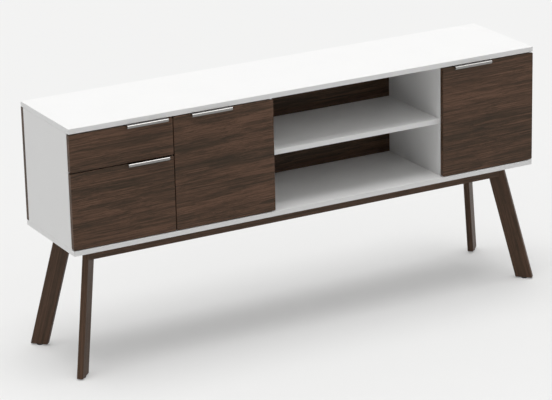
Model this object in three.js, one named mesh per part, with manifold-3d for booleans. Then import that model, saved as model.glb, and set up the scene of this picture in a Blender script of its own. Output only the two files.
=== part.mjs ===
// Office credenza: a white board carcass with walnut fronts and back, on a walnut base with splayed legs.
// Millimetres. +X runs along the length, the fronts face -Y, +Z is up and the glides stand on z = 0.

import * as THREE from 'three';
import { mergeVertices } from 'three/addons/utils/BufferGeometryUtils.js';
import Module from 'manifold-3d';

const wasm = await Module();
wasm.setup();

// Carcass
const LENGTH = 1800;
const DEPTH = 380;
const BODY_HEIGHT = 436;
const LEG_HEIGHT = 434;
const BOARD = 18;
const EDGE_RADIUS = 1.2;
const SHELF_SETBACK = 4;

// Fronts: their width, rounded corners and the gaps around them
const FRONT_WIDTH = 375;
const UPPER_FRONT_HEIGHT = 128.5;
const FRONT_CORNER = 4.5;
const SIDE_GAP = 3;
const TOP_GAP = 3.5;
const BOTTOM_GAP = 2.5;
const REAR_GAP = 2;

// Door pivots: pins standing in the top and bottom boards
const PIN_RADIUS = 2.5;
const PIN_DEPTH = 10;
const COLLAR_RADIUS = 5;
const PIVOT_FROM_EDGE = 8;
const PIVOT_FROM_FACE = 7;
const HINGE_EDGE_RADIUS = 3;

// Magnetic door catches and their strike plates
const CATCH_WIDTH = 14;
const CATCH_DEPTH = 22;
const CATCH_HEIGHT = 46;
const CATCH_DROP = 70;
const STRIKE_THICKNESS = 1.5;
const STRIKE_MARGIN = 2;

// Edge pulls: a strip on a front's top edge, hooked behind it, with a round nose and a lip that turns down
const PULL_LENGTH = 150;
const PULL_REACH = 13;
const PULL_THICKNESS = 2;
const PULL_NOSE = 5;
const PULL_LIP = 5;
const PULL_HOOK = 16;
const DRAWER_PULL_MARGIN = 20;
const LEFT_DOOR_PULL_MARGIN = 65;
const RIGHT_DOOR_PULL_MARGIN = 45;

// Drawer boxes
const BOX_BOARD = 12;
const BOX_BOTTOM = 6;
const GROOVE_DEPTH = 5;
const GROOVE_RISE = 10;
const BOX_RISE = 10;
const UPPER_BOX_HEIGHT = 86;
const LOWER_BOX_HEIGHT = 186;
const BOX_REAR_SPACE = 42;

// Telescopic drawer runners, each of three nested channels
const RUNNER_SPACE = 12.7;
const RUNNER_HEIGHT = 45;
const RUNNER_STEEL = 1.2;
const RUNNER_MARGIN = 1.4;
const RUNNER_RISE = 14;
const RUNNER_SETBACK = 2;

// Base: flat legs set across the corners and tilted outward, with rails mitred against them
const LEG_WIDTH = 60;
const LEG_THICKNESS = 22;
const LEG_TILT = THREE.MathUtils.degToRad(15);
const LEG_INSET = 98;
const LEG_RADIUS = 4;
const FOOT_EDGE = 2.5;
const RAIL_HEIGHT = 51;
const END_RAIL_HEIGHT = 36;
const RAIL_THICKNESS = 26;
const GLIDE_RADIUS = 11;
const GLIDE_HEIGHT = 4;

// Clearance between pieces that slide, turn or are cut to fit each other
const CLEARANCE = 0.3;

// Fineness of rounded edges and turned pieces
const EDGE_STEPS = 2;
const FOLD_STEPS = 5;
const TURN_STEPS = 20;
const WELD = 1e-4;

const white = new THREE.MeshStandardMaterial({ color: 0xf1f1f0, roughness: 0.5, metalness: 0 });
const walnut = new THREE.MeshStandardMaterial({ color: 0x4b3b32, roughness: 0.48, metalness: 0 });
const boxWhite = new THREE.MeshStandardMaterial({ color: 0xdcdbd8, roughness: 0.55, metalness: 0 });
const aluminium = new THREE.MeshStandardMaterial({ color: 0xc6c7c8, roughness: 0.3, metalness: 1 });
const steel = new THREE.MeshStandardMaterial({ color: 0x9fa3a6, roughness: 0.35, metalness: 1 });
const black = new THREE.MeshStandardMaterial({ color: 0x232323, roughness: 0.6, metalness: 0 });

// Levels and planes that the pieces share
const left = -LENGTH / 2;
const right = LENGTH / 2;
const floorTop = LEG_HEIGHT + BOARD;
const bodyTop = LEG_HEIGHT + BODY_HEIGHT;
const roof = bodyTop - BOARD;
const frontBack = BOARD;
const carcassFront = frontBack + REAR_GAP;
const backFace = DEPTH - BOARD;
const frontBottom = floorTop + BOTTOM_GAP;
const frontTop = roof - TOP_GAP;
const upperFrontBottom = frontTop - UPPER_FRONT_HEIGHT;
const lowerFrontTop = upperFrontBottom - TOP_GAP;

// Columns from left to right: drawers, cupboard, open bay, cupboard
const drawerFrontX = [left, left + FRONT_WIDTH];
const leftDoorX = [drawerFrontX[1] + SIDE_GAP, drawerFrontX[1] + SIDE_GAP + FRONT_WIDTH];
const rightDoorX = [right - FRONT_WIDTH, right];
const firstDividerLeft = drawerFrontX[1] + SIDE_GAP / 2 - BOARD / 2;
const dividerX = [
  [firstDividerLeft, firstDividerLeft + BOARD],
  [leftDoorX[1] - BOARD, leftDoorX[1]],
  [rightDoorX[0], rightDoorX[0] + BOARD],
];
const shelfZ = [(floorTop + roof - BOARD) / 2, (floorTop + roof + BOARD) / 2];

const part = new THREE.Group();

// Solids: a closed mesh becomes a body that can be cut, and comes back as geometry
function toBody(geometry) {
  const bare = geometry.clone();
  bare.deleteAttribute('normal');
  bare.deleteAttribute('uv');
  const merged = mergeVertices(bare, WELD);
  const corners = [];
  for (let i = 0; i < merged.index.count; i += 3) {
    const triangle = [merged.index.getX(i), merged.index.getX(i + 1), merged.index.getX(i + 2)];
    if (new Set(triangle).size === 3) corners.push(...triangle);
  }
  const vertProperties = new Float32Array(merged.attributes.position.array);
  const triVerts = new Uint32Array(corners);
  return new wasm.Manifold(new wasm.Mesh({ numProp: 3, vertProperties, triVerts }));
}

function toGeometry(body) {
  const mesh = body.getMesh();
  const geometry = new THREE.BufferGeometry();
  geometry.setAttribute('position', new THREE.BufferAttribute(new Float32Array(mesh.vertProperties), 3));
  geometry.setIndex(new THREE.BufferAttribute(new Uint32Array(mesh.triVerts), 1));
  geometry.computeVertexNormals();
  return geometry;
}

function cut(geometry, ...tools) {
  return toGeometry(tools.reduce((body, tool) => body.subtract(toBody(tool)), toBody(geometry)));
}

function addPiece(name, geometry, material, position = [0, 0, 0], parent = part) {
  const mesh = new THREE.Mesh(geometry, material);
  mesh.name = name;
  mesh.position.set(...position);
  parent.add(mesh);
  return mesh;
}

// Profiles: outlines extruded along one axis, the outline's own axes following in turn order
const axisX = new THREE.Vector3(1, 0, 0);
const axisY = new THREE.Vector3(0, 1, 0);
const axisZ = new THREE.Vector3(0, 0, 1);
const alongAxis = [
  new THREE.Matrix4().makeBasis(axisY, axisZ, axisX),
  new THREE.Matrix4().makeBasis(axisZ, axisX, axisY),
  new THREE.Matrix4(),
];

function roundedRectangle(width, height, lowerLeft, lowerRight, upperRight, upperLeft) {
  const shape = new THREE.Shape();
  shape.absarc(lowerLeft, lowerLeft, lowerLeft, Math.PI, 1.5 * Math.PI);
  shape.absarc(width - lowerRight, lowerRight, lowerRight, 1.5 * Math.PI, 2 * Math.PI);
  shape.absarc(width - upperRight, height - upperRight, upperRight, 0, 0.5 * Math.PI);
  shape.absarc(upperLeft, height - upperLeft, upperLeft, 0.5 * Math.PI, Math.PI);
  return shape;
}

function extrude(shape, axis, length, edgeRadius = 0, steps = EDGE_STEPS) {
  const geometry = new THREE.ExtrudeGeometry(shape, {
    depth: length - 2 * edgeRadius,
    bevelEnabled: edgeRadius > 0,
    bevelThickness: edgeRadius,
    bevelSize: edgeRadius,
    bevelOffset: -edgeRadius,
    bevelSegments: EDGE_STEPS,
    curveSegments: steps,
  });
  return geometry.translate(0, 0, edgeRadius).applyMatrix4(alongAxis[axis]);
}

function turned(...profile) {
  const points = profile.map(([radius, height]) => new THREE.Vector2(radius, height));
  const geometry = new THREE.LatheGeometry(points, TURN_STEPS).rotateX(Math.PI / 2);
  return toGeometry(toBody(geometry));
}

// Boards: flat pieces with rounded edges and rounder corners, given by their extents
function boardGeometry(x, y, z, edgeRadius = EDGE_RADIUS, corner = 2 * edgeRadius) {
  const sizes = [x[1] - x[0], y[1] - y[0], z[1] - z[0]];
  const thin = sizes.indexOf(Math.min(...sizes));
  const width = sizes[(thin + 1) % 3];
  const height = sizes[(thin + 2) % 3];
  const outline = roundedRectangle(width, height, corner, corner, corner, corner);
  return extrude(outline, thin, sizes[thin], edgeRadius);
}

function addBoard(name, material, x, y, z, tools = [], rounding = 2 * EDGE_RADIUS) {
  const origin = [x[0], y[0], z[0]];
  const local = tools.map((tool) => tool.translate(-origin[0], -origin[1], -origin[2]));
  const blank = boardGeometry(x, y, z, EDGE_RADIUS, rounding);
  return addPiece(name, local.length ? cut(blank, ...local) : blank, material, origin);
}

function pinHole(x, y, z) {
  const radius = PIN_RADIUS + CLEARANCE;
  const depth = PIN_DEPTH + CLEARANCE;
  return new THREE.CylinderGeometry(radius, radius, 2 * depth, TURN_STEPS).rotateX(Math.PI / 2).translate(x, y, z);
}

// Carcass: top and bottom boards cap the sides, dividers and back
const pivotY = PIVOT_FROM_FACE;
const pivotX = [leftDoorX[1] - PIVOT_FROM_EDGE, rightDoorX[1] - PIVOT_FROM_EDGE];
const carcassY = [carcassFront, backFace];
const innerZ = [floorTop, roof];

addBoard('top_board', white, [left, right], [0, DEPTH], [roof, bodyTop],
  pivotX.map((x) => pinHole(x, pivotY, roof)));
addBoard('bottom_board', white, [left, right], [0, DEPTH], [LEG_HEIGHT, floorTop],
  pivotX.map((x) => pinHole(x, pivotY, floorTop)));
addBoard('left_side', white, [left, left + BOARD], carcassY, innerZ);
addBoard('right_side', white, [right - BOARD, right], carcassY, innerZ);
addBoard('drawer_divider', white, dividerX[0], carcassY, innerZ);
addBoard('bay_divider_left', white, dividerX[1], carcassY, innerZ);
addBoard('bay_divider_right', white, dividerX[2], carcassY, innerZ);
addBoard('back_panel', walnut, [left, right], [backFace, DEPTH], innerZ);

const shelfY = [carcassFront + SHELF_SETBACK, backFace];
addBoard('bay_shelf', white, [dividerX[1][1], dividerX[2][0]], shelfY, shelfZ);
addBoard('left_cupboard_shelf', white, [dividerX[0][1], dividerX[1][0]], shelfY, shelfZ);
addBoard('right_cupboard_shelf', white, [dividerX[2][1], right - BOARD], shelfY, shelfZ);

// Edge pull: the strip's section, drawn from the front's top edge, then run along the front
function pullSection() {
  const half = PULL_THICKNESS / 2;
  const noseY = PULL_NOSE - PULL_REACH;
  const noseZ = PULL_THICKNESS - PULL_NOSE;
  const shape = new THREE.Shape();
  shape.absarc(half - PULL_REACH, noseZ - PULL_LIP, half, Math.PI, 2 * Math.PI);
  shape.absarc(noseY, noseZ, PULL_NOSE - PULL_THICKNESS, Math.PI, 0.5 * Math.PI, true);
  shape.lineTo(frontBack, 0);
  shape.absarc(frontBack + half, half - PULL_HOOK, half, Math.PI, 2 * Math.PI);
  shape.absarc(frontBack, 0, PULL_THICKNESS, 0, 0.5 * Math.PI);
  shape.absarc(noseY, noseZ, PULL_NOSE, 0.5 * Math.PI, Math.PI);
  return shape;
}

function addPull(name, x, topEdge) {
  const strip = extrude(pullSection(), 0, PULL_LENGTH, 0, FOLD_STEPS);
  addPiece(name, strip, aluminium, [x, 0, topEdge]);
}

// Doors: hung on pins near the right edge, whose rear corner is rounded to swing clear of the carcass
function addPin(name, x, z, collar, side) {
  const profile = [
    [0, -side * PIN_DEPTH],
    [PIN_RADIUS, -side * PIN_DEPTH],
    [PIN_RADIUS, 0],
    [COLLAR_RADIUS, 0],
    [COLLAR_RADIUS, side * collar],
    [PIN_RADIUS, side * collar],
    [PIN_RADIUS, side * (collar + PIN_DEPTH)],
    [0, side * (collar + PIN_DEPTH)],
  ];
  addPiece(name, turned(...(side > 0 ? profile : profile.reverse())), steel, [x, pivotY, z]);
}

function hingeEdgeCutter(edgeX) {
  const radius = HINGE_EDGE_RADIUS;
  const shape = new THREE.Shape();
  shape.absarc(edgeX - radius, frontBack - radius, radius, 0, 0.5 * Math.PI);
  shape.lineTo(edgeX - radius, frontBack + radius);
  shape.lineTo(edgeX + radius, frontBack + radius);
  shape.lineTo(edgeX + radius, frontBack - radius);
  return extrude(shape, 2, BODY_HEIGHT, 0, FOLD_STEPS).translate(0, 0, LEG_HEIGHT);
}

function addDoor(name, x, hingeX, pullMargin, catchFace) {
  const tools = [
    hingeEdgeCutter(x[1]),
    pinHole(hingeX, pivotY, frontBottom),
    pinHole(hingeX, pivotY, frontTop),
  ];
  addBoard(`${name}_door`, walnut, x, [0, frontBack], [frontBottom, frontTop], tools, FRONT_CORNER);
  addPull(`${name}_door_pull`, x[0] + pullMargin, frontTop);
  addPin(`${name}_door_upper_pin`, hingeX, roof, TOP_GAP - CLEARANCE, -1);
  addPin(`${name}_door_lower_pin`, hingeX, floorTop, BOTTOM_GAP, 1);

  const catchX = [catchFace, catchFace + CATCH_WIDTH];
  const catchZ = [roof - CATCH_DROP - CATCH_HEIGHT, roof - CATCH_DROP];
  const strikeY = [frontBack, frontBack + STRIKE_THICKNESS];
  const catchFront = strikeY[1] + CLEARANCE;
  const strikeX = [catchX[0] + STRIKE_MARGIN, catchX[1] - STRIKE_MARGIN];
  const strikeZ = [catchZ[0] + STRIKE_MARGIN, catchZ[1] - STRIKE_MARGIN];
  addPiece(`${name}_door_strike`, boardGeometry(strikeX, strikeY, strikeZ, STRIKE_THICKNESS / 4), steel,
    [strikeX[0], strikeY[0], strikeZ[0]]);
  addBoard(`${name}_door_catch`, black, catchX, [catchFront, catchFront + CATCH_DEPTH], catchZ);
}

addDoor('left', leftDoorX, pivotX[0], LEFT_DOOR_PULL_MARGIN, dividerX[0][1]);
addDoor('right', rightDoorX, pivotX[1], RIGHT_DOOR_PULL_MARGIN, dividerX[2][1]);

// Runner channels: a web with two flanges, open towards +X or -X
function channel(height, reach, open, length) {
  const shape = new THREE.Shape();
  const outer = height / 2;
  const inner = outer - RUNNER_STEEL;
  const bend = RUNNER_STEEL;
  shape.moveTo(-outer, open * reach);
  shape.lineTo(-inner, open * reach);
  shape.lineTo(-inner, open * RUNNER_STEEL);
  shape.lineTo(inner, open * RUNNER_STEEL);
  shape.lineTo(inner, open * reach);
  shape.lineTo(outer, open * reach);
  shape.absarc(inner, open * bend, bend, 0, -open * Math.PI / 2, open > 0);
  shape.absarc(-inner, open * bend, bend, -open * Math.PI / 2, -open * Math.PI, open > 0);
  return extrude(shape, 1, length);
}

function addRunner(name, wallX, toward, centreZ, boxEnd) {
  const y = carcassFront + RUNNER_SETBACK;
  const length = boxEnd - y;
  const step = RUNNER_STEEL + CLEARANCE;
  const reach = RUNNER_SPACE - step - RUNNER_MARGIN;
  const boxX = wallX + toward * RUNNER_SPACE;
  const middleX = wallX + toward * step;
  addPiece(`${name}_outer`, channel(RUNNER_HEIGHT, reach, toward, length), steel, [wallX, y, centreZ]);
  addPiece(`${name}_middle`, channel(RUNNER_HEIGHT - 2 * step, reach, toward, length), steel,
    [middleX, y, centreZ]);
  addPiece(`${name}_inner`, channel(RUNNER_HEIGHT - 4 * step, reach - step, -toward, length), steel,
    [boxX, y, centreZ]);
}

// Drawers: a front with a pull, and a grooved box behind it on a pair of runners
function addDrawer(name, frontZ, boxHeight) {
  const columnX = [left + BOARD, dividerX[0][0]];
  const boxX = [columnX[0] + RUNNER_SPACE, columnX[1] - RUNNER_SPACE];
  const innerX = [boxX[0] + BOX_BOARD, boxX[1] - BOX_BOARD];
  const boxEnd = backFace - BOX_REAR_SPACE;
  const boxZ = [frontZ[0] + BOX_RISE, frontZ[0] + BOX_RISE + boxHeight];
  const bottomZ = [boxZ[0] + GROOVE_RISE, boxZ[0] + GROOVE_RISE + BOX_BOTTOM];
  const grooveX = [innerX[0] - GROOVE_DEPTH, innerX[1] + GROOVE_DEPTH];
  const bottomX = [grooveX[0] + CLEARANCE, grooveX[1] - CLEARANCE];
  const sideY = [frontBack, boxEnd];
  const groove = () => {
    const size = [grooveX[1] - grooveX[0], boxEnd, BOX_BOTTOM + CLEARANCE];
    const centre = [(grooveX[0] + grooveX[1]) / 2, (frontBack + boxEnd) / 2, bottomZ[0] + size[2] / 2];
    return new THREE.BoxGeometry(...size).translate(...centre);
  };

  addBoard(`${name}_drawer_front`, walnut, drawerFrontX, [0, frontBack], frontZ, [], FRONT_CORNER);
  addPull(`${name}_drawer_pull`, drawerFrontX[1] - DRAWER_PULL_MARGIN - PULL_LENGTH, frontZ[1]);
  addBoard(`${name}_drawer_left_side`, boxWhite, [boxX[0], innerX[0]], sideY, boxZ, [groove()]);
  addBoard(`${name}_drawer_right_side`, boxWhite, [innerX[1], boxX[1]], sideY, boxZ, [groove()]);
  addBoard(`${name}_drawer_bottom`, boxWhite, bottomX, sideY, bottomZ);
  addBoard(`${name}_drawer_back`, boxWhite, innerX, [boxEnd - BOX_BOARD, boxEnd], [bottomZ[1], boxZ[1]]);

  const runnerZ = boxZ[0] + RUNNER_RISE + RUNNER_HEIGHT / 2;
  addRunner(`${name}_left_runner`, columnX[0], 1, runnerZ, boxEnd);
  addRunner(`${name}_right_runner`, columnX[1], -1, runnerZ, boxEnd);
}

addDrawer('upper', [upperFrontBottom, frontTop], UPPER_BOX_HEIGHT);
addDrawer('lower', [frontBottom, lowerFrontTop], LOWER_BOX_HEIGHT);

// Legs: a level section sheared outward, so that head and foot are cut level, with a rounded foot edge
const legDrop = LEG_HEIGHT - GLIDE_HEIGHT;
const legSpread = Math.tan(LEG_TILT);
const legSection = LEG_WIDTH / Math.cos(LEG_TILT);

function legGeometry() {
  const outline = roundedRectangle(
    legSection, LEG_THICKNESS, LEG_RADIUS, LEG_RADIUS, LEG_RADIUS, LEG_RADIUS);
  const shear = new THREE.Matrix4().makeShear(0, 0, 0, 0, -legSpread, 0);
  const size = [2 * legSection, 2 * LEG_THICKNESS, 2 * FOOT_EDGE];
  const head = new THREE.BoxGeometry(...size).translate(legSection / 2, LEG_THICKNESS / 2, legDrop + FOOT_EDGE);
  const upright = cut(extrude(outline, 2, legDrop + FOOT_EDGE, FOOT_EDGE), head);
  return upright.translate(-legSection / 2, -LEG_THICKNESS / 2, -legDrop).applyMatrix4(shear);
}

function glideGeometry() {
  const rounding = GLIDE_HEIGHT / 3;
  return turned([0, 0], [GLIDE_RADIUS - rounding, 0], [GLIDE_RADIUS, rounding],
    [GLIDE_RADIUS, GLIDE_HEIGHT], [0, GLIDE_HEIGHT]);
}

function addLeg(name, sideX, sideY) {
  const corner = new THREE.Group();
  const centreY = DEPTH / 2;
  corner.position.set(sideX * (right - LEG_INSET), centreY + sideY * (centreY - LEG_INSET), LEG_HEIGHT);
  corner.rotation.z = Math.atan2(sideY, sideX);
  addPiece(`${name}_leg`, legGeometry(), walnut, [0, 0, 0], corner);
  addPiece(`${name}_glide`, glideGeometry(), black, [legDrop * legSpread, 0, -LEG_HEIGHT], corner);
  part.add(corner);
}

addLeg('front_left', -1, -1);
addLeg('front_right', 1, -1);
addLeg('rear_left', -1, 1);
addLeg('rear_right', 1, 1);

// Rails: each meets the middle of the leg faces at its own mid height, and is mitred to lie along them
const legHalfAcross = (LEG_THICKNESS / 2 + CLEARANCE) * Math.SQRT2;

function addRail(name, height, run, span, turn) {
  const inset = LEG_INSET - (height / 2 * legSpread + LEG_THICKNESS / 2) * Math.SQRT1_2;
  const outer = inset - RAIL_THICKNESS / 2;
  const inner = inset + RAIL_THICKNESS / 2;
  const outerEnd = run / 2 - outer - legHalfAcross;
  const innerEnd = run / 2 - inner - legHalfAcross;
  const shape = new THREE.Shape();
  shape.moveTo(-outerEnd, outer - span / 2);
  shape.lineTo(outerEnd, outer - span / 2);
  shape.lineTo(innerEnd, inner - span / 2);
  shape.lineTo(-innerEnd, inner - span / 2);
  const rail = addPiece(name, extrude(shape, 2, height, EDGE_RADIUS), walnut,
    [0, DEPTH / 2, LEG_HEIGHT - height]);
  rail.rotation.z = turn;
}

addRail('front_rail', RAIL_HEIGHT, LENGTH, DEPTH, 0);
addRail('rear_rail', RAIL_HEIGHT, LENGTH, DEPTH, Math.PI);
addRail('left_rail', END_RAIL_HEIGHT, DEPTH, LENGTH, -Math.PI / 2);
addRail('right_rail', END_RAIL_HEIGHT, DEPTH, LENGTH, Math.PI / 2);

// The origin lies on the floor under the middle of everything, pulls and feet included
const extent = new THREE.Box3().setFromObject(part, true);
part.position.y = -(extent.min.y + extent.max.y) / 2;

export default part;
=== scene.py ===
import math
import bmesh
import bpy
from mathutils import Matrix, Quaternion, Vector


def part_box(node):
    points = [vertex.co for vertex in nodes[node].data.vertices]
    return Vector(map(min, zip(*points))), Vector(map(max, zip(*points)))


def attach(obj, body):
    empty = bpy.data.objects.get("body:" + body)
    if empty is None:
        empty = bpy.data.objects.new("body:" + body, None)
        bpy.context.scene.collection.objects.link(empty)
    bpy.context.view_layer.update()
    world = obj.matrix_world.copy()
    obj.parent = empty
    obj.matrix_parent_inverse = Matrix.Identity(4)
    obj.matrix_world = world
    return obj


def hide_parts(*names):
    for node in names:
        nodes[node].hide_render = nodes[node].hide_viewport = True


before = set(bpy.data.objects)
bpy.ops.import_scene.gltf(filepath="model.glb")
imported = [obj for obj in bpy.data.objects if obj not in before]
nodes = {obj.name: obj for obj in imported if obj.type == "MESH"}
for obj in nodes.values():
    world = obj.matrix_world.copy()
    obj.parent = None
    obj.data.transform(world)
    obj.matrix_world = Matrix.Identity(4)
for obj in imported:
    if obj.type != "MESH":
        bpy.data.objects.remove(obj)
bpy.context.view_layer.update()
scene = bpy.context.scene
hair = 1e-6  # metres: points closer than this lie on one plane
print("frame loaded:", len(nodes), "nodes")


# One socket of a node tree. Sums on it add Math nodes, and node() adds any other kind
class Wire:
    def __init__(self, tree, socket=None):
        self.tree = tree
        self.socket = socket

    def node(self, kind, settings=None, sockets=None, output=0):
        made = self.tree.nodes.new(kind)
        for key, value in (settings or {}).items():
            if key == "stops":
                ramp = made.color_ramp.elements
                while len(ramp) < len(value):
                    ramp.new(0.5)
                for stop, (place, colour) in zip(ramp, value):
                    stop.position = place
                    stop.color = (*colour, 1)
            else:
                setattr(made, key, value)
        for key, value in (sockets or {}).items():
            if isinstance(value, Wire):
                self.tree.links.new(value.socket, made.inputs[key])
            else:
                made.inputs[key].default_value = value
        return Wire(self.tree, made.outputs[output] if made.outputs else None)

    def math(self, operation, first, second):
        return self.node("ShaderNodeMath", {"operation": operation}, {0: first, 1: second})

    def __add__(self, other):
        return self.math("ADD", self, other)

    def __radd__(self, other):
        return self.math("ADD", other, self)

    def __sub__(self, other):
        return self.math("SUBTRACT", self, other)

    def __rsub__(self, other):
        return self.math("SUBTRACT", other, self)

    def __mul__(self, other):
        return self.math("MULTIPLY", self, other)

    def __rmul__(self, other):
        return self.math("MULTIPLY", other, self)

    def atLeast(self, other):
        return self.math("MAXIMUM", self, other)

    def spread(self, low, high):
        return self.node("ShaderNodeMapRange", {"clamp": True},
                         {"Value": self, "From Min": low, "From Max": high})

    def stretched(self, scale, shift=(0, 0, 0), turn=(0, 0, 0)):
        return self.node("ShaderNodeMapping", None,
                         {"Vector": self, "Location": shift, "Rotation": turn, "Scale": scale})

    def noise(self, detail=3.0, roughness=0.5):
        return self.node("ShaderNodeTexNoise", {"noise_dimensions": "3D"},
                         {"Vector": self, "Scale": 1.0, "Detail": detail, "Roughness": roughness})


def newFinish(name):
    material = bpy.data.materials.new(name)
    material.use_nodes = True
    material.node_tree.nodes.clear()
    return material, Wire(material.node_tree)


def objectPlace(wire):
    return wire.node("ShaderNodeTexCoord", None, None, "Object")


def twoTone(factor, look):
    return factor.node("ShaderNodeMix", {"data_type": "RGBA"},
                       {0: factor, 6: (*look["shade"], 1), 7: (*look["colour"], 1)}, 2)


def closeFinish(wire, sockets, height, bump):
    sockets["Normal"] = wire.node("ShaderNodeBump", None, {"Height": height, **bump})
    shader = wire.node("ShaderNodeBsdfPrincipled", None, sockets)
    wire.node("ShaderNodeOutputMaterial", None, {"Surface": shader})


# Camera: from the front left and a little above, with a long lens
cameraSetup = {
    "place": (-4.1936, -7.6062, 3.3768),
    "azimuth": -28.626,
    "elevation": 18.852,
    "roll": -1.297,
    "lens": 171.81,
    "sensor": 36,
    "reach": 200,
}


def addCamera(setup):
    data = bpy.data.cameras.new("camera")
    data.lens = setup["lens"]
    data.sensor_width = setup["sensor"]
    data.clip_end = setup["reach"]
    camera = bpy.data.objects.new("camera", data)
    scene.collection.objects.link(camera)
    around = math.radians(setup["azimuth"])
    above = math.radians(setup["elevation"])
    level = math.cos(above)
    back = Vector((math.sin(around) * level, -math.cos(around) * level, math.sin(above)))
    upright = (-back).to_track_quat("-Z", "Y")
    camera.rotation_mode = "QUATERNION"
    camera.rotation_quaternion = upright @ Quaternion((0, 0, 1), math.radians(setup["roll"]))
    camera.location = setup["place"]
    scene.camera = camera


# Studio: one wide soft sun overhead, a weak dome that is stronger on the left, and a pale floor.
# The panel is high in front, and only gloss and metal show it. Fades are on parts of a unit direction
studioSetup = {
    "sunStrength": 1.85,
    "sunWidth": 42,
    "dome": 0.62,
    "domeFade": (0.34, 0.64),
    "leftLift": 1.0,
    "leftFade": (0.3, 0.9),
    "backdrop": 0.89,
    "panel": 6.2,
    "panelFade": (0.70, 0.84),
    "panelFront": (-0.1, 0.15),
    "floorColour": (0.81, 0.81, 0.805),
    "glowColour": (1, 1, 0.995),
    "floorGlow": 0.26,
    "floorSize": 120,
}


def lightPath(wire, kind):
    return wire.node("ShaderNodeLightPath", None, None, kind)


def backdropRays(wire):
    seen = lightPath(wire, "Is Camera Ray")
    return seen.atLeast(lightPath(wire, "Is Glossy Ray")).atLeast(lightPath(wire, "Is Transmission Ray"))


def addSun(setup):
    lamp = bpy.data.lights.new("overhead", "SUN")
    lamp.energy = setup["sunStrength"]
    lamp.angle = math.radians(setup["sunWidth"])
    scene.collection.objects.link(bpy.data.objects.new("overhead", lamp))


def addDome(setup):
    world = bpy.data.worlds.new("dome")
    world.use_nodes = True
    world.node_tree.nodes.clear()
    scene.world = world
    wire = Wire(world.node_tree)
    shown = backdropRays(wire)
    way = wire.node("ShaderNodeTexCoord", None, None, "Generated")
    height = wire.node("ShaderNodeSeparateXYZ", None, {0: way}, 2)
    ahead = 0 - wire.node("ShaderNodeSeparateXYZ", None, {0: way}, 1)
    aside = 0 - wire.node("ShaderNodeSeparateXYZ", None, {0: way}, 0)
    lift = 1 + aside.spread(*setup["leftFade"]) * setup["leftLift"]
    dome = height.spread(*setup["domeFade"]) * lift * setup["dome"]
    panel = height.spread(*setup["panelFade"]) * ahead.spread(*setup["panelFront"]) * setup["panel"]
    gloss = panel * lightPath(wire, "Is Glossy Ray")
    strength = (1 - shown) * dome + shown * setup["backdrop"] + gloss
    light = wire.node("ShaderNodeBackground", None, {"Color": (1, 1, 1, 1), "Strength": strength})
    wire.node("ShaderNodeOutputWorld", None, {"Surface": light})


# the floor is partly the pale backdrop to the eye, which keeps its shadows light
def addFloor(setup):
    material, wire = newFinish("floorPaint")
    paint = wire.node("ShaderNodeBsdfDiffuse", None, {"Color": (*setup["floorColour"], 1)})
    glow = wire.node("ShaderNodeEmission", None,
                     {"Color": (*setup["glowColour"], 1), "Strength": setup["backdrop"]})
    share = backdropRays(wire) * setup["floorGlow"]
    surface = wire.node("ShaderNodeMixShader", None, {0: share, 1: paint, 2: glow})
    wire.node("ShaderNodeOutputMaterial", None, {"Surface": surface})
    shape = bmesh.new()
    bmesh.ops.create_grid(shape, x_segments=2, y_segments=2, size=setup["floorSize"])
    mesh = bpy.data.meshes.new("studioFloor")
    shape.to_mesh(mesh)
    shape.free()
    mesh.materials.append(material)
    floor = bpy.data.objects.new("studioFloor", mesh)
    scene.collection.objects.link(floor)


scene.view_settings.view_transform = "Standard"
addCamera(cameraSetup)
addSun(studioSetup)
addDome(studioSetup)
addFloor(studioSetup)
print("camera and studio placed")


# Walnut: the grain runs along X of the turned coordinates and wanders a little.
# bands to pores give how many marks of each kind lie across a metre, from the coarsest to the finest
walnutLook = {
    "deep": (0.028, 0.0180, 0.0095),
    "dark": (0.052, 0.0310, 0.0170),
    "warm": (0.095, 0.0495, 0.0285),
    "pale": (0.150, 0.0790, 0.0480),
    "tones": (0.12, 0.36, 0.60, 0.86),
    "bands": 22, "rings": 17, "streaks": 190, "fibres": 420, "pores": 1300,
    "slope": 0.02, "drift": 0.022, "driftSize": (1.6, 4, 4), "ripple": 0.003, "rippleSize": (9, 22, 22),
    "roughness": 0.50, "streakGloss": 0.08, "poreRoughness": 0.12, "sheen": 0.22,
    "fibreRise": 0.4, "poreDepth": 0.6, "bump": {"Strength": 0.2, "Distance": 0.0003},
}

# Marks of the grain: how many lie along a metre, their noise and fade, and their share of the tone
grainMarks = {
    "bands": {"along": 0.6, "detail": 2, "roughness": 0.6, "fade": (0.34, 0.62), "share": 0.24},
    "rings": {"along": 0.7, "detail": 2, "roughness": 0.45, "turns": 5, "share": 0.22},
    "streaks": {"along": 2.6, "detail": 2, "roughness": 0.6, "fade": (0.39, 0.61), "share": 0.27},
    "fibres": {"along": 5, "detail": 3, "roughness": 0.7, "fade": (0.34, 0.66), "share": 0.42},
    "pores": {"along": 24, "detail": 1, "roughness": 0.5, "fade": (0.57, 0.64), "share": -0.30},
}


def grainMark(grain, mark, across):
    noise = grain.stretched((mark["along"], across, across)).noise(mark["detail"], mark["roughness"])
    if "turns" not in mark:
        return noise.spread(*mark["fade"])
    growth = noise * mark["turns"]  # a ring fades out slowly and starts again at once
    return 1 - growth.math("FRACT", growth, 0)


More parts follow.
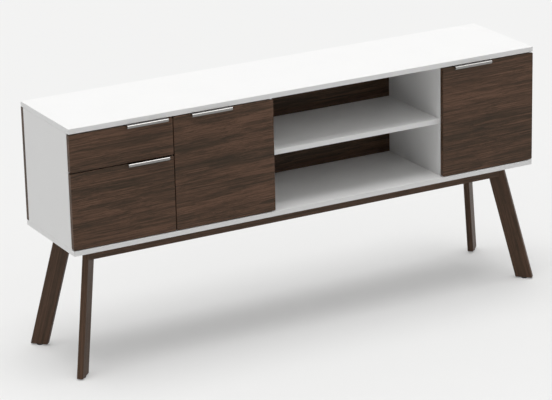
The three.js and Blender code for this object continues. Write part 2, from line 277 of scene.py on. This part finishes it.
def makeWalnut(name, shift, turn=(0, 0, 0), changes=None):
    look = {**walnutLook, **(changes or {})}
    material, wire = newFinish(name)
    straight = objectPlace(wire).stretched((1, 1, 1), shift, turn)
    drift = straight.stretched(look["driftSize"]).noise(detail=2) - 0.5
    ripple = straight.stretched(look["rippleSize"]).noise(detail=1) - 0.5
    run = wire.node("ShaderNodeSeparateXYZ", None, {0: straight}, 0)
    climb = drift * look["drift"] + ripple * look["ripple"] - run * look["slope"]
    lean = wire.node("ShaderNodeCombineXYZ", None, {"X": 0.0, "Y": climb, "Z": climb})
    grain = wire.node("ShaderNodeVectorMath", {"operation": "ADD"}, {0: straight, 1: lean})
    marks = {kind: grainMark(grain, mark, look[kind]) for kind, mark in grainMarks.items()}
    shares = [marks[kind] * mark["share"] for kind, mark in grainMarks.items()]
    tone = sum(shares[1:], shares[0])
    colours = (look["deep"], look["dark"], look["warm"], look["pale"])
    colour = wire.node("ShaderNodeValToRGB", {"stops": list(zip(look["tones"], colours))}, {"Fac": tone})
    gloss = marks["streaks"] * look["streakGloss"]
    closeFinish(wire, {
        "Base Color": colour,
        "Roughness": look["roughness"] - gloss + marks["pores"] * look["poreRoughness"],
        "Specular IOR Level": look["sheen"],
    }, marks["fibres"] * look["fibreRise"] - marks["pores"] * look["poreDepth"], look["bump"])
    return material


# White board: satin melamine with a faint pebble
whiteLook = {
    "colour": (0.868, 0.866, 0.860), "shade": (0.845, 0.843, 0.838),
    "cloud": (7, 7, 7), "pebble": (900, 900, 900),
    "roughness": 0.36, "pebbleRoughness": 0.10, "sheen": 0.12,
    "bump": {"Strength": 0.06, "Distance": 0.0002},
}


def makeWhite(name, look):
    material, wire = newFinish(name)
    place = objectPlace(wire)
    cloud = place.stretched(look["cloud"]).noise(detail=2)
    pebble = place.stretched(look["pebble"]).noise(detail=2, roughness=0.55)
    closeFinish(wire, {
        "Base Color": twoTone(cloud, look),
        "Roughness": look["roughness"] + pebble * look["pebbleRoughness"],
        "Specular IOR Level": look["sheen"],
    }, pebble, look["bump"])
    return material


# Brushed aluminium: fine lines along the pull
aluminiumLook = {
    "colour": (0.31, 0.302, 0.294), "shade": (0.235, 0.229, 0.223),
    "lines": (9, 1800, 1800), "lineFade": (0.3, 0.7),
    "roughness": 0.10, "lineRoughness": 0.10,
    "bump": {"Strength": 0.1, "Distance": 0.0001},
}


def makeAluminium(name, look):
    material, wire = newFinish(name)
    lines = objectPlace(wire).stretched(look["lines"]).noise(detail=3, roughness=0.6)
    closeFinish(wire, {
        "Base Color": twoTone(lines.spread(*look["lineFade"]), look),
        "Metallic": 1.0,
        "Roughness": look["roughness"] + lines * look["lineRoughness"],
    }, lines, look["bump"])
    return material


# Plated steel: slightly cloudy, with faint rolling marks
steelLook = {
    "colour": (0.62, 0.63, 0.64), "shade": (0.47, 0.48, 0.50),
    "cloud": (60, 60, 60), "cloudFade": (0.3, 0.7), "marks": (900, 12, 900),
    "roughness": 0.28, "cloudRoughness": 0.16, "markRoughness": 0.06,
    "bump": {"Strength": 0.08, "Distance": 0.0001},
}


def makeSteel(name, look):
    material, wire = newFinish(name)
    place = objectPlace(wire)
    cloud = place.stretched(look["cloud"]).noise(detail=3, roughness=0.6)
    marks = place.stretched(look["marks"]).noise(detail=2)
    closeFinish(wire, {
        "Base Color": twoTone(cloud.spread(*look["cloudFade"]), look),
        "Metallic": 1.0,
        "Roughness": look["roughness"] + cloud * look["cloudRoughness"] + marks * look["markRoughness"],
    }, marks, look["bump"])
    return material


# Drawer board: pale grey coated board with a fine linear print
drawerLook = {
    "colour": (0.70, 0.695, 0.68), "shade": (0.64, 0.635, 0.62),
    "streaks": (260, 5, 260), "streakFade": (0.25, 0.75), "pebble": (1100, 1100, 1100),
    "roughness": 0.5, "pebbleRoughness": 0.15, "sheen": 0.3,
    "bump": {"Strength": 0.08, "Distance": 0.0002},
}


def makeDrawerBoard(name, look):
    material, wire = newFinish(name)
    place = objectPlace(wire)
    streaks = place.stretched(look["streaks"]).noise(detail=3, roughness=0.55)
    pebble = place.stretched(look["pebble"]).noise(detail=2)
    closeFinish(wire, {
        "Base Color": twoTone(streaks.spread(*look["streakFade"]), look),
        "Roughness": look["roughness"] + pebble * look["pebbleRoughness"],
        "Specular IOR Level": look["sheen"],
    }, pebble, look["bump"])
    return material


# Black plastic: moulded, with a fine spark-eroded grain
plasticLook = {
    "colour": (0.022, 0.022, 0.023), "shade": (0.013, 0.013, 0.014),
    "grit": (1300, 1300, 1300), "gritFade": (0.3, 0.7),
    "roughness": 0.42, "gritRoughness": 0.25,
    "bump": {"Strength": 0.15, "Distance": 0.0002},
}


def makePlastic(name, look):
    material, wire = newFinish(name)
    grit = objectPlace(wire).stretched(look["grit"]).noise(detail=2, roughness=0.6)
    closeFinish(wire, {
        "Base Color": twoTone(grit.spread(*look["gritFade"]), look),
        "Roughness": look["roughness"] + grit * look["gritRoughness"],
    }, grit, look["bump"])
    return material


whiteBoard = makeWhite("whiteBoard", whiteLook)
drawerBoard = makeDrawerBoard("drawerBoard", drawerLook)
brushedAluminium = makeAluminium("brushedAluminium", aluminiumLook)
platedSteel = makeSteel("platedSteel", steelLook)
blackPlastic = makePlastic("blackPlastic", plasticLook)
frontWalnut = {
    "upper_drawer_front": makeWalnut("walnutUpperDrawer", (0.31, 0.2, 0.11)),
    "lower_drawer_front": makeWalnut("walnutLowerDrawer", (1.27, 0.6, 0.43)),
    "left_door": makeWalnut("walnutLeftDoor", (2.4, 1.1, 0.77)),
    "right_door": makeWalnut("walnutRightDoor", (3.7, 1.7, 0.29)),
}
# The back panel takes the fronts' walnut made darker, as painted shade for the back of the open bay
backGrainPaintedShade = {
    "deep": (0.024, 0.0155, 0.0085), "dark": (0.043, 0.0262, 0.0145),
    "warm": (0.075, 0.0410, 0.0236), "pale": (0.112, 0.0620, 0.0375),
}
backWalnutPaintedShade = makeWalnut("walnutBackPaintedShade", (5.2, 2.3, 0.9), changes=backGrainPaintedShade)

# The solids that already have the right shape keep it and take a finish
whiteNodes = (
    "top_board", "bottom_board", "left_side", "right_side", "drawer_divider", "bay_divider_left",
    "bay_divider_right", "bay_shelf", "left_cupboard_shelf", "right_cupboard_shelf",
)


def dress(name, material):
    mesh = nodes[name].data
    mesh.materials.clear()
    mesh.materials.append(material)


for name in whiteNodes:
    dress(name, whiteBoard)
# the back panel's darker walnut is painted shade
dress("back_panel", backWalnutPaintedShade)
for drawer in ("upper_drawer", "lower_drawer"):
    for board in ("left_side", "right_side", "bottom", "back"):
        dress(f"{drawer}_{board}", drawerBoard)
for name in nodes:
    if "runner" in name or name.endswith(("_pin", "_strike")):
        dress(name, platedSteel)
print("finishes made and boards dressed")


# Making a piece from a finished bmesh
smoothing = {"sharpAngle": 40}


def addPiece(shape, name, body, material, stands):
    bmesh.ops.recalc_face_normals(shape, faces=shape.faces)
    mesh = bpy.data.meshes.new(name)
    shape.to_mesh(mesh)
    shape.free()
    mesh.materials.append(material)
    mesh.shade_smooth()
    mesh.set_sharp_from_angle(angle=math.radians(smoothing["sharpAngle"]))
    piece = bpy.data.objects.new(name, mesh)
    scene.collection.objects.link(piece)
    weigh = piece.modifiers.new("evenFaces", "WEIGHTED_NORMAL")
    weigh.keep_sharp = True
    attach(piece, body)
    if stands:
        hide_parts(stands)


def blockShape(low, high):
    shape = bmesh.new()
    bmesh.ops.create_cube(shape, size=1)
    bmesh.ops.scale(shape, vec=high - low, verts=shape.verts)
    bmesh.ops.translate(shape, vec=(low + high) / 2, verts=shape.verts)
    return shape


def drawLine(shape, places):
    points = [shape.verts.new(place) for place in places]
    edges = [shape.edges.new(pair) for pair in zip(points, points[1:])]
    return points, edges


def extrudeBy(shape, edges, way):
    made = bmesh.ops.extrude_edge_only(shape, edges=edges)["geom"]
    moved = [v for v in made if isinstance(v, bmesh.types.BMVert)]
    bmesh.ops.translate(shape, vec=way, verts=moved)
    return moved


def roundEdges(shape, edges, radius, steps):
    bmesh.ops.bevel(shape, geom=list(edges), offset=radius, offset_type="OFFSET", segments=steps,
                    profile=0.5, affect="EDGES", material=-1, clamp_overlap=True)


def edgesAlong(shape, axis):
    found = []
    for edge in shape.edges:
        run = edge.verts[1].co - edge.verts[0].co
        if run.length - abs(run[axis]) < hair:
            found.append(edge)
    return found


def edgesAt(shape, axis, level):
    return [e for e in shape.edges if all(abs(v.co[axis] - level) < hair for v in e.verts)]


# Fronts: rounded at the corners, eased along the edges, and bored for the pins if they swing
frontShape = {
    "corner": 0.0045, "cornerSteps": 6,
    "face": 0.0014, "drawerRear": 0.0012, "doorRear": 0.003, "edgeSteps": 4,
    "bore": 0.0028, "boreDepth": 0.0103, "boreSides": 24,
}


def boreEdge(shape, pin, upward):
    side = max(shape.faces, key=lambda f: f.normal.z * upward * f.calc_area())
    level = side.calc_center_median().z
    rim = list(side.edges)
    bmesh.ops.delete(shape, geom=[side], context="FACES_ONLY")
    made = bmesh.ops.create_circle(shape, segments=frontShape["boreSides"], radius=frontShape["bore"],
                                   matrix=Matrix.Translation((pin.x, pin.y, level)))
    mouth = list({e for v in made["verts"] for e in v.link_edges})
    bmesh.ops.triangle_fill(shape, edges=rim + mouth, use_beauty=True, normal=(0, 0, upward))
    deep = extrudeBy(shape, mouth, (0, 0, -upward * frontShape["boreDepth"]))
    floor = {e for v in deep for e in v.link_edges if e.other_vert(v) in deep}
    bmesh.ops.contextual_create(shape, geom=list(floor))


def addFront(name, body, rear, swings=False):
    low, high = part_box(name)
    shape = blockShape(low, high)
    roundEdges(shape, edgesAlong(shape, 1), frontShape["corner"], frontShape["cornerSteps"])
    roundEdges(shape, edgesAt(shape, 1, low.y), frontShape["face"], frontShape["edgeSteps"])
    roundEdges(shape, edgesAt(shape, 1, high.y), rear, frontShape["edgeSteps"])
    if swings:
        for end, upward in (("upper", 1), ("lower", -1)):
            pinLow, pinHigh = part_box(f"{name}_{end}_pin")
            boreEdge(shape, (pinLow + pinHigh) / 2, upward)
    addPiece(shape, name + "_panel", body, frontWalnut[name], name)


addFront("upper_drawer_front", "upper_drawer", frontShape["drawerRear"])
addFront("lower_drawer_front", "lower_drawer", frontShape["drawerRear"])
addFront("left_door", "left_door", frontShape["doorRear"], True)
addFront("right_door", "right_door", frontShape["doorRear"], True)
print("fronts made")


# Screws: a low domed head with a six-sided socket. The dome is in shares of the radius and the rise
screwShape = {
    "radius": 0.0034, "rise": 0.0014, "sides": 24,
    "dome": ((1, 0), (1, 0.3), (0.9, 0.75), (0.68, 1)),
    "socket": 0.0013, "socketDepth": 0.0009, "socketSides": 6,
}


def addScrews(name, body, places, facing):
    rise = screwShape["rise"]
    rings = [(screwShape["sides"], out * screwShape["radius"], up * rise) for out, up in screwShape["dome"]]
    for height in (rise, rise - screwShape["socketDepth"]):
        rings.append((screwShape["socketSides"], screwShape["socket"], height))
    turn = Vector((0, 0, 1)).rotation_difference(facing).to_matrix().to_4x4()
    shape = bmesh.new()
    for place in places:
        seat = Matrix.Translation(place) @ turn
        loops = []
        for sides, radius, height in rings:
            made = bmesh.ops.create_circle(shape, segments=sides, radius=radius,
                                           matrix=seat @ Matrix.Translation((0, 0, height)))
            loops.append(list({e for v in made["verts"] for e in v.link_edges}))
        bmesh.ops.contextual_create(shape, geom=loops[0])
        bmesh.ops.contextual_create(shape, geom=loops[-1])
        for lower, upper in zip(loops, loops[1:]):
            bmesh.ops.bridge_loops(shape, edges=lower + upper)
    addPiece(shape, name, body, platedSteel, None)


# Edge pulls: one folded strip, hooked behind the front, with a round nose and a lip that curls under
pullShape = {
    "thickness": 0.002,
    "lip": 0.006, "lipStart": 0.001, "lipCurl": 0.003,
    "nose": 0.005, "noseSteps": 10,
    "tail": 0.002, "tailSteps": 4,
    "edge": 0.0004, "edgeSteps": 3, "edgeAngle": 60,
    "screwRise": 0.0075, "screwSpread": 0.055,
}


def addPull(name, body, front):
    low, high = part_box(name)
    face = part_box(front)[0].y
    under = high.z - pullShape["nose"]
    line = [
        (high.y, low.z),
        (high.y, high.z),
        (low.y, high.z),
        (low.y, under - pullShape["lipStart"]),
        (low.y + pullShape["lipCurl"], under - pullShape["lip"]),
    ]
    shape = bmesh.new()
    edges = drawLine(shape, [(low.x, y, z) for y, z in line])[1]
    extrudeBy(shape, edges, (high.x - low.x, 0, 0))
    folds = [e for e in edgesAlong(shape, 0) if abs(e.verts[0].co.z - high.z) < hair]
    nose = [e for e in folds if e.verts[0].co.y < face]
    tail = [e for e in folds if e.verts[0].co.y > face]
    roundEdges(shape, nose, pullShape["nose"], pullShape["noseSteps"])
    roundEdges(shape, tail, pullShape["tail"], pullShape["tailSteps"])
    bmesh.ops.recalc_face_normals(shape, faces=shape.faces)
    flat = max(shape.faces, key=lambda f: f.calc_area())
    if flat.normal.z < 0:
        bmesh.ops.reverse_faces(shape, faces=shape.faces)
    bmesh.ops.solidify(shape, geom=list(shape.faces), thickness=pullShape["thickness"])
    sharp = [e for e in shape.edges if e.calc_face_angle(0) > math.radians(pullShape["edgeAngle"])]
    roundEdges(shape, sharp, pullShape["edge"], pullShape["edgeSteps"])
    addPiece(shape, name + "_strip", body, brushedAluminium, name)
    middle = (low.x + high.x) / 2
    level = low.z + pullShape["screwRise"]
    places = [Vector((middle + side * pullShape["screwSpread"], high.y, level)) for side in (-1, 1)]
    addScrews(name + "_screws", body, places, Vector((0, 1, 0)))


addPull("upper_drawer_pull", "upper_drawer", "upper_drawer_front")
addPull("lower_drawer_pull", "lower_drawer", "lower_drawer_front")
addPull("left_door_pull", "left_door", "left_door")
addPull("right_door_pull", "right_door", "right_door")
print("pulls made")


# Base: flat legs across the corners, leaning outward, with mitred rails between them
legShape = {
    "width": 0.060, "thickness": 0.022, "lean": 15, "inset": 0.098, "glide": 0.004,
    "edge": 0.004, "edgeSteps": 6, "foot": 0.0025, "footSteps": 4,
}
railShape = {"gap": 0.0003, "edge": 0.002, "edgeSteps": 4}
baseGrain = {
    "deep": (0.041, 0.0255, 0.0138), "dark": (0.056, 0.0334, 0.0184),
    "warm": (0.080, 0.0428, 0.0247), "pale": (0.104, 0.0554, 0.0334),
    "bands": 55, "rings": 45, "streaks": 240, "fibres": 700, "slope": 0.0,
}
topLow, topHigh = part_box("top_board")
topMiddle = (topLow + topHigh) / 2
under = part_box("bottom_board")[0].z


# the middle of a leg's head, on the underside of the bottom board
def legHead(sideX, sideY):
    halfX = topHigh.x - topMiddle.x - legShape["inset"]
    halfY = topHigh.y - topMiddle.y - legShape["inset"]
    return Vector((topMiddle.x + sideX * halfX, topMiddle.y + sideY * halfY, under))


def addLeg(name, sideX, sideY, shift):
    lean = math.radians(legShape["lean"])
    drop = under - legShape["glide"]
    half = Vector((legShape["width"] / math.cos(lean), legShape["thickness"], 0)) / 2
    shape = blockShape(-half - Vector((0, 0, drop)), half)
    uprights = edgesAlong(shape, 2)
    foot = [v for v in shape.verts if v.co.z < -drop / 2]
    bmesh.ops.translate(shape, vec=(drop * math.tan(lean), 0, 0), verts=foot)
    roundEdges(shape, uprights, legShape["edge"], legShape["edgeSteps"])
    roundEdges(shape, edgesAt(shape, 2, -drop), legShape["foot"], legShape["footSteps"])
    place = Matrix.Translation(legHead(sideX, sideY)) @ Matrix.Rotation(math.atan2(sideY, sideX), 4, "Z")
    bmesh.ops.transform(shape, matrix=place, verts=shape.verts)
    run = place.to_3x3() @ Vector((math.sin(lean), 0, -math.cos(lean)))
    turn = run.rotation_difference(Vector((1, 0, 0))).to_euler()
    wood = makeWalnut("walnut_" + name, shift, turn, baseGrain)
    addPiece(shape, name + "_post", "carcass", wood, name)


def addRail(name, turn, shift):
    low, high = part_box(name)
    middle = (low + high) / 2
    shape = blockShape(low, high)
    along = 0 if high.x - low.x > high.y - low.y else 1
    for sideX, sideY in ((-1, -1), (-1, 1), (1, -1), (1, 1)):
        head = legHead(sideX, sideY)
        if abs(middle[1 - along] - head[1 - along]) > legShape["width"]:
            continue  # the rail doesn't run to this leg
        outward = Vector((sideX, -sideY, 0)).normalized()
        if (middle - head).dot(outward) > 0:
            outward.negate()
        mouth = head - outward * (legShape["thickness"] / 2 + railShape["gap"])
        bmesh.ops.bisect_plane(shape, geom=shape.verts[:] + shape.edges[:] + shape.faces[:], dist=hair,
                               plane_co=mouth, plane_no=outward, clear_outer=True)
        bmesh.ops.holes_fill(shape, edges=shape.edges)
    roundEdges(shape, edgesAlong(shape, along), railShape["edge"], railShape["edgeSteps"])
    wood = makeWalnut("walnut_" + name, shift, turn, baseGrain)
    addPiece(shape, name + "_bar", "carcass", wood, name)


addLeg("front_left_leg", -1, -1, (0.4, 0.1, 0.2))
addLeg("front_right_leg", 1, -1, (1.4, 0.5, 0.6))
addLeg("rear_left_leg", -1, 1, (2.4, 0.9, 0.1))
addLeg("rear_right_leg", 1, 1, (3.4, 1.3, 0.5))
addRail("front_rail", (0, 0, 0), (6.1, 0.3, 0.7))
addRail("rear_rail", (0, 0, 0), (8.3, 0.8, 0.2))
addRail("left_rail", (0, 0, math.pi / 2), (4.6, 1.5, 0.4))
addRail("right_rail", (0, 0, math.pi / 2), (7.2, 1.9, 0.9))
print("base made")


# Glides: turned discs with a soft rim and a narrower neck
glideShape = {
    "radius": 0.011, "height": 0.004, "rim": 0.0013, "rimTop": 0.0026,
    "neck": 0.0092, "neckStart": 0.0029, "turnSteps": 36,
}


def addGlide(name):
    low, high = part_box(name)
    centre = (low + high) / 2
    line = [
        (0, 0),
        (glideShape["radius"] - glideShape["rim"], 0),
        (glideShape["radius"], glideShape["rim"]),
        (glideShape["radius"], glideShape["rimTop"]),
        (glideShape["neck"], glideShape["neckStart"]),
        (glideShape["neck"], glideShape["height"]),
        (0, glideShape["height"]),
    ]
    shape = bmesh.new()
    points, edges = drawLine(shape, [(centre.x + r, centre.y, low.z + z) for r, z in line])
    bmesh.ops.spin(shape, geom=points + edges, cent=centre, axis=(0, 0, 1), angle=2 * math.pi,
                   steps=glideShape["turnSteps"], use_merge=True)
    bmesh.ops.remove_doubles(shape, verts=shape.verts, dist=hair)
    addPiece(shape, name + "_disc", "carcass", blackPlastic, name)


for name in ("front_left_glide", "front_right_glide", "rear_left_glide", "rear_right_glide"):
    addGlide(name)
print("glides made")


# Magnetic catches: a moulded case with two steel poles on its front and a screw at each end
catchShape = {
    "corner": 0.00256, "cornerSteps": 5, "face": 0.00096, "faceSteps": 3, "setback": 0.0012,
    "poleWidth": 0.0022, "poleGap": 0.0034, "poleEnd": 0.006, "poleEdge": 0.0003, "poleSteps": 2,
    "screwEnd": 0.008, "screwSet": 0.003,
}


def addCatch(name):
    low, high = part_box(name)
    middle = (low + high) / 2
    front = low.y + catchShape["setback"]
    case = blockShape(Vector((low.x, front, low.z)), high)
    roundEdges(case, edgesAlong(case, 1), catchShape["corner"], catchShape["cornerSteps"])
    roundEdges(case, edgesAt(case, 1, front), catchShape["face"], catchShape["faceSteps"])
    addPiece(case, name + "_case", "carcass", blackPlastic, name)
    size = (catchShape["poleWidth"], catchShape["setback"], high.z - low.z - 2 * catchShape["poleEnd"])
    poles = bmesh.new()
    for side in (-1, 1):
        centre = middle.x + side * (catchShape["poleGap"] + catchShape["poleWidth"]) / 2
        pole = bmesh.ops.create_cube(poles, size=1)["verts"]
        bmesh.ops.scale(poles, vec=size, verts=pole)
        bmesh.ops.translate(poles, vec=(centre, low.y + catchShape["setback"] / 2, middle.z), verts=pole)
    roundEdges(poles, poles.edges, catchShape["poleEdge"], catchShape["poleSteps"])
    addPiece(poles, name + "_poles", "carcass", platedSteel, None)
    ends = (low.z + catchShape["screwEnd"], high.z - catchShape["screwEnd"])
    places = [Vector((high.x, middle.y + catchShape["screwSet"], z)) for z in ends]
    addScrews(name + "_screws", "carcass", places, Vector((1, 0, 0)))


addCatch("left_door_catch")
addCatch("right_door_catch")
print("catches made")
